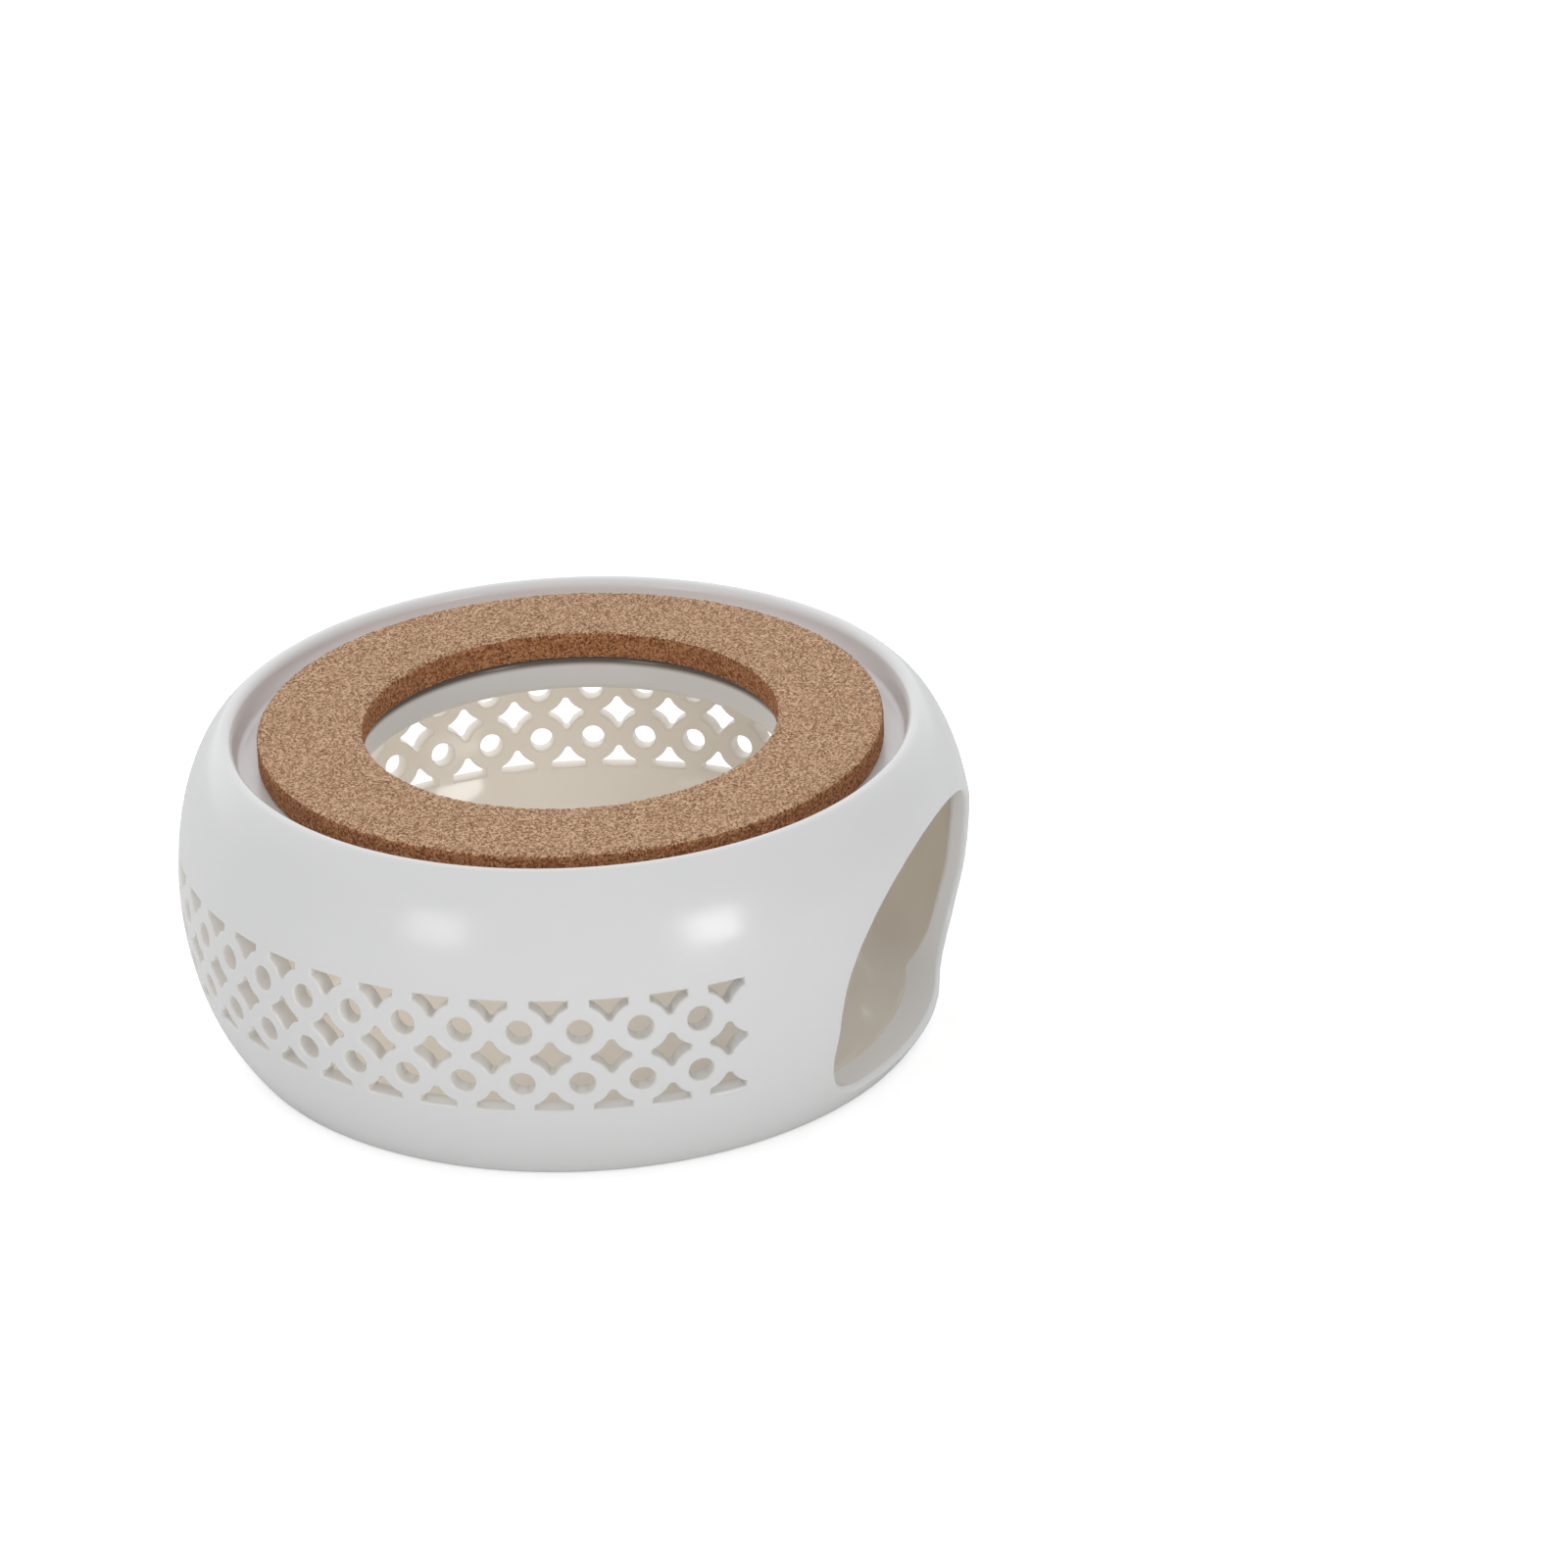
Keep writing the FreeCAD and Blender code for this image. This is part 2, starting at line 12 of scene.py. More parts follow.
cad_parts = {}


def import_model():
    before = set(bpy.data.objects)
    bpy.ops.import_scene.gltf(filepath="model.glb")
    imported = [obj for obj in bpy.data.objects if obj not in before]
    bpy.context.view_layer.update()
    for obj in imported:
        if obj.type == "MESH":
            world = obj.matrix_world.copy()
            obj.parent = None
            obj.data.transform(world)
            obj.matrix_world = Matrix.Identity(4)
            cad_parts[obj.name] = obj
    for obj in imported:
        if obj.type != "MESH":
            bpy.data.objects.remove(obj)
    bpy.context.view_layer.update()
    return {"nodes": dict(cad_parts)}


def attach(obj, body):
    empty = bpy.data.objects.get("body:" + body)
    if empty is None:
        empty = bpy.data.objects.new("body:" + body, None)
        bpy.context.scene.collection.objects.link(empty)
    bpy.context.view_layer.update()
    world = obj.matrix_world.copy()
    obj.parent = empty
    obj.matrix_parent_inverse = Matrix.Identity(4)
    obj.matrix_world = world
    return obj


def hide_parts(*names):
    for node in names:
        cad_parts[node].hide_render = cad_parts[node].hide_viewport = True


LOG = logging.getLogger("teapot_warmer")
MM = 0.001
# point attribute where the glaze has its painted warm colour and glow: the chamber, and the lattice's cut
# faces in part
INSIDE = "inside"
# a vertex this near to the turned wall lies on it
ON_WALL = 0.012 * MM
# level direction from the camera to the object
AWAY = (0.92, 0.39, 0.0)

Colour = tuple[float, float, float]
Point = tuple[float, float, float]
Span = tuple[float, float]


class Slot(Enum):
    """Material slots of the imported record."""

    PORCELAIN = "porcelain"
    CORK = "cork"


class Nodes:
    """A small helper that adds and joins shader nodes in one tree."""

    def __init__(self, tree: bpy.types.NodeTree) -> None:
        """Keeps the tree that the nodes go into.

        Args:
            tree: a material's, world's or group's node tree.
        """
        self.tree = tree

    def add(self, kind: str, **settings: object) -> bpy.types.Node:
        """Adds a node and sets its properties and input values.

        Args:
            kind: the node's type, without the ShaderNode prefix.
            settings: input values by socket name with underscores for spaces, or properties.

        Returns:
            The new node.
        """
        node = self.tree.nodes.new(kind if kind.startswith("Node") else f"ShaderNode{kind}")
        for name, value in settings.items():
            socket = node.inputs.get(name.replace("_", " "))
            if hasattr(node, name):
                setattr(node, name, value)
            elif socket is not None:
                socket.default_value = value
            else:
                raise KeyError(f"{kind} has no {name}")
        return node

    def join(self, source: bpy.types.NodeSocket, target: bpy.types.NodeSocket) -> None:
        """Links an output socket to an input socket."""
        self.tree.links.new(source, target)

    def maths(self, operation: str, *values: object, clamp: bool = False) -> bpy.types.NodeSocket:
        """Adds a Math node.

        Args:
            operation: the Math node's operation.
            values: numbers or sockets for its inputs, in order.
            clamp: whether the result stays between 0 and 1.

        Returns:
            The result socket.
        """
        node = self.add("Math", operation=operation, use_clamp=clamp)
        for socket, value in zip(node.inputs, values):
            self.feed(value, socket)
        return node.outputs[0]

    def mix(self, factor: object, low: object, high: object) -> bpy.types.NodeSocket:
        """Mixes two colours.

        Args:
            factor: number or socket, 0 for low and 1 for high.
            low: colour or socket.
            high: colour or socket.

        Returns:
            The mixed colour's socket.
        """
        node = self.add("Mix", data_type="RGBA")
        self.feed(factor, node.inputs["Factor"])
        self.feed(low, node.inputs[6])
        self.feed(high, node.inputs[7])
        return node.outputs[2]

    def grade(self, value: bpy.types.NodeSocket, span: Span, levels: Span,
              smooth: bool = False) -> bpy.types.NodeSocket:
        """Grades a value between two levels, and holds them beyond its span.

        Args:
            value: the value's socket.
            span: the values where the grade starts and ends.
            levels: the results there.
            smooth: whether the grade eases in and out.

        Returns:
            The result socket.
        """
        node = self.add("MapRange", From_Min=span[0], From_Max=span[1], To_Min=levels[0], To_Max=levels[1])
        if smooth:
            node.interpolation_type = "SMOOTHSTEP"
        self.join(value, node.inputs["Value"])
        return node.outputs["Result"]

    def along(self, way: bpy.types.NodeSocket, aim: Point) -> bpy.types.NodeSocket:
        """Measures a vector along a direction, as their dot product."""
        node = self.add("VectorMath", operation="DOT_PRODUCT")
        self.join(way, node.inputs[0])
        node.inputs[1].default_value = aim
        return node.outputs["Value"]

    def feed(self, value: object, socket: bpy.types.NodeSocket) -> None:
        """Links a socket or sets a plain value on an input."""
        if isinstance(value, bpy.types.NodeSocket):
            self.join(value, socket)
        elif isinstance(value, tuple) and len(value) == 3 and socket.type == "RGBA":
            socket.default_value = (*value, 1.0)
        else:
            socket.default_value = value


def new_material(name: str) -> tuple[bpy.types.Material, Nodes, bpy.types.Node]:
    """Makes an empty material with a Principled shader.

    Args:
        name: the material's name.

    Returns:
        The material, its node helper and its Principled node.
    """
    material = bpy.data.materials.new(name)
    material.use_nodes = True
    material.node_tree.nodes.clear()
    nodes = Nodes(material.node_tree)
    shader = nodes.add("BsdfPrincipled")
    output = nodes.add("OutputMaterial")
    nodes.join(shader.outputs["BSDF"], output.inputs["Surface"])
    return material, nodes, shader


def mottle_group() -> bpy.types.NodeTree:
    """Builds the soft uneven tone that the glaze and the cork share.

    Returns:
        A group with Vector, Size, Low and High inputs and a Value output.
    """
    group = bpy.data.node_groups.new("Mottle", "ShaderNodeTree")
    face = group.interface
    face.new_socket("Vector", in_out="INPUT", socket_type="NodeSocketVector")
    for name in ("Size", "Low", "High"):
        face.new_socket(name, in_out="INPUT", socket_type="NodeSocketFloat")
    face.new_socket("Value", in_out="OUTPUT", socket_type="NodeSocketFloat")
    nodes = Nodes(group)
    entry = nodes.add("NodeGroupInput")
    leave = nodes.add("NodeGroupOutput")
    scale = nodes.maths("DIVIDE", 1.0, entry.outputs["Size"])
    noise = nodes.add("TexNoise", Detail=3.0, Roughness=0.55)
    nodes.join(entry.outputs["Vector"], noise.inputs["Vector"])
    nodes.join(scale, noise.inputs["Scale"])
    spread = nodes.add("MapRange", From_Min=0.3, From_Max=0.7)
    nodes.join(noise.outputs["Fac"], spread.inputs["Value"])
    nodes.join(entry.outputs["Low"], spread.inputs["To Min"])
    nodes.join(entry.outputs["High"], spread.inputs["To Max"])
    nodes.join(spread.outputs["Result"], leave.inputs["Value"])
    return group


@dataclass(frozen=True)
class GlazeFinish:
    """White glaze over porcelain, with a bare foot.

    The chamber has a warmer colour and a faint glow, painted light for light through the thin porcelain.
    The well's far wall has a painted glow too, and the lip a painted shade where the ring overhangs it.
    """

    outside: Colour = (0.845, 0.84, 0.83)
    # the chamber's colour, warmer than outside: painted light, for light through the thin wall
    inside: Colour = (0.79, 0.745, 0.67)
    bare: Colour = (0.76, 0.74, 0.70)
    bare_height: float = 0.35 * MM
    bare_roughness: float = 0.7
    gloss: float = 0.2
    gloss_spread: float = 0.03
    gloss_patch: float = 6 * MM
    inner_gloss: float = 0.09
    ripple: float = 0.03
    ripple_size: float = 14 * MM
    # painted glow, for light through the chamber's wall, from the side opening to the back
    through_colour: Colour = (1.0, 0.93, 0.84)
    through: Span = (0.0, 0.16)
    through_span: Span = (-45 * MM, 30 * MM)
    # painted glow, for light through the well's wall, over its height and towards the far side
    well_colour: Colour = (0.86, 0.93, 1.0)
    well_glow: Span = (0.28, 0.0)
    well_height: Span = (49.3 * MM, 54.3 * MM)
    well_far: Span = (5 * MM, 50 * MM)
    well_share: Span = (0.05, 1.0)
    well_base: float = 49.25 * MM
    well_reach: float = 57.1 * MM
    # painted shade on the lip under the ring
    gap_colour: Colour = (0.16, 0.13, 0.11)
    gap_height: Span = (47.2 * MM, 48.3 * MM)
    gap_reach: float = 37.6 * MM

    def base(self, nodes: Nodes, inner: bpy.types.NodeSocket, height: bpy.types.NodeSocket,
             reach: bpy.types.NodeSocket) -> bpy.types.NodeSocket:
        """Mixes the base colour from a place's share of the chamber, height and distance from the axis."""
        # painted shade on the lip under the ring, over the chamber's painted warm colour
        in_gap = nodes.maths("LESS_THAN", reach, self.gap_reach)
        under_ring = nodes.grade(height, self.gap_height, (0.0, 1.0), smooth=True)
        shade = nodes.maths("MULTIPLY", in_gap, under_ring)
        return nodes.mix(shade, nodes.mix(inner, self.outside, self.inside), self.gap_colour)

    def glow(self, nodes: Nodes, inner: bpy.types.NodeSocket, place: bpy.types.NodeSocket,
             reach: bpy.types.NodeSocket) -> bpy.types.NodeSocket:
        """Mixes the painted glow, for light through the wall, from the same values and the position."""
        axes = nodes.add("SeparateXYZ")
        nodes.join(place, axes.inputs["Vector"])
        depth = nodes.grade(axes.outputs["Y"], self.through_span, self.through)
        chamber = nodes.maths("MULTIPLY", inner, depth)
        in_well = nodes.maths("LESS_THAN", reach, self.well_reach)
        above = nodes.maths("GREATER_THAN", axes.outputs["Z"], self.well_base)
        in_slot = nodes.maths("MULTIPLY", in_well, above)
        backlit = nodes.grade(nodes.along(place, AWAY), self.well_far, self.well_share, smooth=True)
        well = nodes.grade(axes.outputs["Z"], self.well_height, self.well_glow)
        slot = nodes.maths("MULTIPLY", in_slot, nodes.maths("MULTIPLY", backlit, well))
        glow = nodes.add("VectorMath", operation="SCALE")
        nodes.join(nodes.mix(in_slot, self.through_colour, self.well_colour), glow.inputs["Vector"])
        nodes.join(nodes.maths("ADD", chamber, slot), glow.inputs["Scale"])
        return glow.outputs["Vector"]

    def build(self, mottle: bpy.types.NodeTree) -> bpy.types.Material:
        """Builds the glaze material.

        Args:
            mottle: the shared uneven-tone group.

        Returns:
            The material.
        """
        material, nodes, shader = new_material("white_glaze")
        place = nodes.add("TexCoord").outputs["Object"]
        inner = nodes.add("Attribute", attribute_name=INSIDE).outputs["Fac"]
        axes = nodes.add("SeparateXYZ")
        nodes.join(place, axes.inputs["Vector"])
        height = axes.outputs["Z"]
        level = nodes.add("CombineXYZ")
        nodes.join(axes.outputs["X"], level.inputs["X"])
        nodes.join(axes.outputs["Y"], level.inputs["Y"])
        length = nodes.add("VectorMath", operation="LENGTH")
        nodes.join(level.outputs["Vector"], length.inputs[0])
        reach = length.outputs["Value"]
        foot = nodes.maths("LESS_THAN", height, self.bare_height)
        glazed = self.base(nodes, inner, height, reach)
        nodes.join(nodes.mix(foot, glazed, self.bare), shader.inputs["Base Color"])
        sheen = nodes.add("Group", node_tree=mottle, Size=self.gloss_patch,
                          Low=self.gloss - self.gloss_spread, High=self.gloss + self.gloss_spread)
        nodes.join(place, sheen.inputs["Vector"])
        smoother = nodes.maths("MULTIPLY_ADD", inner, self.inner_gloss - self.gloss, sheen.outputs["Value"])
        rough = nodes.add("Mix", data_type="FLOAT")
        nodes.feed(foot, rough.inputs[0])
        nodes.feed(smoother, rough.inputs[2])
        nodes.feed(self.bare_roughness, rough.inputs[3])
        nodes.join(rough.outputs[0], shader.inputs["Roughness"])
        ripple = nodes.add("TexNoise", Scale=1 / self.ripple_size, Detail=0.0)
        nodes.join(place, ripple.inputs["Vector"])
        bump = nodes.add("Bump", Strength=self.ripple, Distance=1 * MM)
        nodes.join(ripple.outputs["Fac"], bump.inputs["Height"])
        nodes.join(bump.outputs["Normal"], shader.inputs["Normal"])
        # painted glow, as emission
        nodes.join(self.glow(nodes, inner, place, reach), shader.inputs["Emission Color"])
        shader.inputs["Emission Strength"].default_value = 1.0
        shader.inputs["IOR"].default_value = 1.5
        return material


@dataclass(frozen=True)
class CorkFinish:
    """Pressed cork of fine granules with pale and bark-brown specks.

    Its upright faces are darker, partly for their cut granules and partly as painted shade.
    """

    light: Colour = (0.96, 0.66, 0.43)
    mid: Colour = (0.56, 0.325, 0.185)
    dark: Colour = (0.20, 0.085, 0.04)
    # upright faces darker: partly their cut granules, partly painted shade, as less light falls on them
    # from above
    upright: Colour = (0.71, 0.51, 0.39)
    upright_lean: float = 0.6
    # places of the dark, middle and light colours on the ramp
    stops: tuple[float, float, float] = (0.08, 0.52, 0.95)
    grain: float = 0.33 * MM
    speck: float = 1.3
    # share and offset of the granules' own tone, and share of the specks
    granule_share: float = 0.8
    granule_offset: float = -0.62
    speck_share: float = 1.55
    patch: float = 6 * MM
    patch_share: float = 0.12
    roughness: float = 0.85
    dullness: float = 0.15
    relief: float = 0.2 * MM
    relief_strength: float = 0.9

    def ramp(self, nodes: Nodes, tone: bpy.types.NodeSocket) -> bpy.types.NodeSocket:
        """Colours a tone from 0 to 1 with the dark, middle and light cork colours."""
        ramp = nodes.add("ValToRGB")
        stops = ramp.color_ramp.elements
        stops[0].position, stops[0].color = self.stops[0], (*self.dark, 1)
        stops[1].position, stops[1].color = self.stops[2], (*self.light, 1)
        middle = stops.new(self.stops[1])
        middle.color = (*self.mid, 1)
        nodes.join(tone, ramp.inputs["Fac"])
        return ramp.outputs["Color"]

    def build(self, mottle: bpy.types.NodeTree) -> bpy.types.Material:
        """Builds the cork material.

        Args:
            mottle: the shared uneven-tone group.

        Returns:
            The material.
        """
        material, nodes, shader = new_material("pressed_cork")
        where = nodes.add("TexCoord")
        place = where.outputs["Object"]
        specks = nodes.add("TexNoise", Scale=self.speck / self.grain, Detail=2.0, Roughness=0.8)
        nodes.join(place, specks.inputs["Vector"])
        shift = nodes.add("VectorMath", operation="MULTIPLY_ADD")
        nodes.join(specks.outputs["Color"], shift.inputs[0])
        shift.inputs[1].default_value = (self.grain, self.grain, self.grain)
        nodes.join(place, shift.inputs[2])
        granule = nodes.add("TexVoronoi", Scale=1 / self.grain, Randomness=1.0)
        nodes.join(shift.outputs["Vector"], granule.inputs["Vector"])
        each = nodes.add("SeparateColor")
        nodes.join(granule.outputs["Color"], each.inputs["Color"])
        own = nodes.maths("MULTIPLY_ADD", each.outputs["Red"], self.granule_share, self.granule_offset)
        fine = nodes.maths("MULTIPLY", specks.outputs["Fac"], self.speck_share)
        cork = self.ramp(nodes, nodes.maths("ADD", own, fine, clamp=True))
        patch = nodes.add("Group", node_tree=mottle, Size=self.patch, Low=0.0, High=self.patch_share)
        nodes.join(place, patch.inputs["Vector"])
        toned = nodes.mix(patch.outputs["Value"], cork, self.mid)
        lean = nodes.add("SeparateXYZ")
        nodes.join(where.outputs["Normal"], lean.inputs["Vector"])
        # upright faces darkened: partly their cut granules, partly painted shade
        upright = nodes.maths("LESS_THAN", nodes.maths("ABSOLUTE", lean.outputs["Z"]), self.upright_lean)
        darker = nodes.add("Mix", data_type="RGBA", blend_type="MULTIPLY")
        nodes.join(upright, darker.inputs["Factor"])
        nodes.join(toned, darker.inputs[6])
        darker.inputs[7].default_value = (*self.upright, 1)
        nodes.join(darker.outputs[2], shader.inputs["Base Color"])
        bump = nodes.add("Bump", Strength=self.relief_strength, Distance=self.relief)
        height = nodes.maths("ADD", specks.outputs["Fac"], granule.outputs["Distance"])
        nodes.join(height, bump.inputs["Height"])
        nodes.join(bump.outputs["Normal"], shader.inputs["Normal"])
        shader.inputs["Roughness"].default_value = self.roughness
        shader.inputs["Specular IOR Level"].default_value = self.dullness
        return material


class Section:
    """Half of a turned section, drawn in the XZ plane as lines and arcs, in millimetres."""

    def __init__(self, x: float, z: float, reach: float = 1.5, turn: float = 11.0) -> None:
        """Starts the section.

        Args:
            x: first point's distance from the axis.
            z: first point's height.
            reach: longest step along an arc, in millimetres.
            turn: largest turn of a step along an arc, in degrees.
        """
        self.points = [Vector((x, 0, z))]
        self.reach = reach
        self.turn = math.radians(turn)

    def line(self, x: float, z: float, steps: int = 1) -> None:
        """Draws a straight run to a point, in so many steps."""
        start = self.points[-1].copy()
        end = Vector((x, 0, z))
        self.points += [start.lerp(end, step / steps) for step in range(1, steps + 1)]

    def arc(self, centre: Vector, x: float, z: float) -> None:
        """Draws the short arc about a centre from the last point to another."""
        first = self.points[-1] - centre
        last = Vector((x, 0, z)) - centre
        start, end = math.atan2(first.z, first.x), math.atan2(last.z, last.x)
        sweep = (end - start + math.pi) % (2 * math.pi) - math.pi
        by_turn = math.ceil(abs(sweep) / self.turn)
        by_reach = math.ceil(abs(sweep) * first.length / self.reach)
        steps = max(1, by_turn, by_reach)
        for step in range(1, steps + 1):
            angle = start + sweep * step / steps
            self.points.append(centre + first.length * Vector((math.cos(angle), 0, math.sin(angle))))


def plane_point(x: float, z: float) -> Vector:
    """A point of the section's plane."""
    return Vector((x, 0, z))


def on_circle(centre: Vector, radius: float, z: float) -> Vector:
    """The outer point of a circle of the section at a height."""
    return plane_point(centre.x + math.sqrt(radius ** 2 - (z - centre.z) ** 2), z)


def go_to(target: bpy.types.Object, mode: str) -> None:
    """Makes one object the only selected one and switches its mode."""
    if bpy.context.mode != "OBJECT":
        bpy.ops.object.mode_set(mode="OBJECT")
    bpy.ops.object.select_all(action="DESELECT")
    target.select_set(True)
    bpy.context.view_layer.objects.active = target
    if mode != "OBJECT":
        bpy.ops.object.mode_set(mode=mode)


def outline_piece(name: str, points: list[Vector], closed: bool) -> bpy.types.Object:
    """Makes a circle primitive and pulls its vertices onto an outline.

    Args:
        name: the new object's name.
        points: the outline, in metres.
        closed: whether the last point joins the first.

    Returns:
        The new object.
    """
    bpy.ops.object.select_all(action="DESELECT")
    bpy.ops.mesh.primitive_circle_add(vertices=len(points), radius=1.0, fill_type="NOTHING")
    piece = bpy.context.active_object
    piece.name = name
    for vertex, point in zip(piece.data.vertices, points):
        vertex.co = point
    if not closed:
        go_to(piece, "EDIT")
        bpy.ops.mesh.select_all(action="DESELECT")
        bpy.ops.mesh.select_mode(type="EDGE")
        go_to(piece, "OBJECT")
        last = len(points) - 1
        for edge in piece.data.edges:
            edge.select = set(edge.vertices) == {0, last}
        go_to(piece, "EDIT")
        bpy.ops.mesh.delete(type="EDGE_FACE")
        go_to(piece, "OBJECT")
    return piece


def turn_on_axis(piece: bpy.types.Object, steps: int) -> None:
    """Spins an outline once round Z, closes the seam and points the faces outwards."""
    go_to(piece, "EDIT")
    bpy.ops.mesh.select_all(action="SELECT")
    bpy.ops.mesh.spin(steps=steps, angle=2 * math.pi, center=(0, 0, 0), axis=(0, 0, 1))
    bpy.ops.mesh.select_all(action="SELECT")
    bpy.ops.mesh.remove_doubles(threshold=1e-6)
    bpy.ops.mesh.select_all(action="SELECT")
    bpy.ops.mesh.normals_make_consistent(inside=False)
    go_to(piece, "OBJECT")
    bpy.ops.object.shade_smooth()


def finish_modifier(piece: bpy.types.Object, kind: str, **settings: object) -> None:
    """Adds a modifier with its settings and applies it."""
    go_to(piece, "OBJECT")
    modifier = piece.modifiers.new(kind.lower(), kind)
    for name, value in settings.items():
        setattr(modifier, name, value)
    bpy.ops.object.modifier_apply(modifier=modifier.name)


def tube(name: str, rings: list[list[Vector]]) -> bpy.types.Object:
    """Wraps a grid primitive round a row of rings and caps both ends.

    Args:
        name: the new object's name.
        rings: the rings in order, each with as many points, in millimetres.

    Returns:
        The closed tube, with its faces pointing outwards.
    """
    sides = len(rings[0])
    bpy.ops.object.select_all(action="DESELECT")
    bpy.ops.mesh.primitive_grid_add(x_subdivisions=sides, y_subdivisions=len(rings) - 1, size=1.0)
    piece = bpy.context.active_object
    piece.name = name
    for vertex in piece.data.vertices:
        ring, side = divmod(vertex.index, sides + 1)
        vertex.co = rings[ring][side % sides] * MM
    go_to(piece, "EDIT")
    bpy.ops.mesh.select_all(action="SELECT")
    bpy.ops.mesh.remove_doubles(threshold=1e-7)
    bpy.ops.mesh.select_all(action="SELECT")
    bpy.ops.mesh.fill_holes(sides=0)
    bpy.ops.mesh.select_all(action="SELECT")
    bpy.ops.mesh.normals_make_consistent(inside=False)
    go_to(piece, "OBJECT")
    return piece


def turned_copy(piece: bpy.types.Object, turn: float) -> bpy.types.Object:
    """Copies a piece with a mesh of its own and turns the copy round Z, in degrees."""
    twin = piece.copy()
    twin.data = piece.data.copy()
    twin.data.transform(Matrix.Rotation(math.radians(turn), 4, "Z"))
    bpy.context.scene.collection.objects.link(twin)
    return twin


def joined(pieces: list[bpy.types.Object]) -> bpy.types.Object:
    """Joins pieces into the first one."""
    go_to(pieces[0], "OBJECT")
    for piece in pieces:
        piece.select_set(True)
    bpy.ops.object.join()
    return pieces[0]


@dataclass
class SoftCutter:
    """A cutter along +Y that opens out where it leaves the wall, so that the cut's edges come out round.

    It stops short of the wall's own slope by a small angle, so that both surfaces cross cleanly.
    """

    wall: BVHTree
    near: float
    far: float
    soft: float
    flare: float
    arc_steps: int = 4
    crossing: float = math.radians(15)
    sharpest: float = 0.7

    def rim(self, slope: float, side: int) -> list[tuple[float, float]]:
        """Points of the round between the cut and one face of the wall.

        Args:
            slope: how far that face moves along Y for each millimetre away from the hole.
            side: 1 for the outer face, -1 for the inner one.

        Returns:
            Distances from the cut and along Y from the face, from the cut outwards.
        """
        lean = side * slope
        centre = lean * self.soft - self.soft * math.hypot(1, lean)
        sweep = math.pi - math.atan2(1, -lean)
        stop = math.pi - max(sweep - self.crossing, sweep / 2)
        points = []
        for step in range(self.arc_steps + 1):
            angle = math.pi + (stop - math.pi) * step / self.arc_steps
            points.append((self.soft * (1 + math.cos(angle)), centre + self.soft * math.sin(angle)))
        away, along = points[-1]
        points.append((away + self.flare * math.sin(stop), along - self.flare * math.cos(stop)))
        return [(away, side * along) for away, along in points]

    def face(self, point: Vector, away: Vector, side: int) -> list[Vector]:
        """Rim points at one outline point, on one face of the wall.

        Args:
            point: the outline's point in the XZ plane, in millimetres.
            away: direction away from the hole there, lengthened at corners.
            side: 1 for the outer face, -1 for the inner one.

        Returns:
            The rim's points in millimetres, from the cut outwards.
        """
        start = self.far if side > 0 else self.near
        origin = Vector((point.x, start, point.z)) * MM
        place, normal = self.wall.ray_cast(origin, Vector((0, -side, 0)))[:2]
        slope = -normal.dot(away.normalized()) / normal.y
        level = place.y / MM
        return [point + away * out + Vector((0, level + along, 0)) for out, along in self.rim(slope, side)]

    def build(self, outline: list[Vector], lift: float) -> bpy.types.Object:
        """Builds the cutter for one hole.

        Args:
            outline: the hole's outline about its own middle, in the XZ plane, in millimetres.
            lift: the middle's height.

        Returns:
            The cutter, as a closed tube.
        """
        raised = [point + Vector((0, 0, lift)) for point in outline]
        columns = []
        for index, point in enumerate(raised):
            before, after = raised[index - 1], raised[(index + 1) % len(raised)]
            steps = (point - before, after - point)
            sides = [Vector((step.z, 0, -step.x)).normalized() for step in steps]
            middle = (sides[0] + sides[1]).normalized()
            away = middle / max(middle.dot(sides[0]), self.sharpest)
            inner = self.face(point, away, -1)[::-1]
            outer = self.face(point, away, 1)
            first, last = inner[0].copy(), outer[-1].copy()
            first.y, last.y = self.near, self.far
            columns.append([first, *inner, *outer, last])
        return tube("cutter", [list(ring) for ring in zip(*columns)])


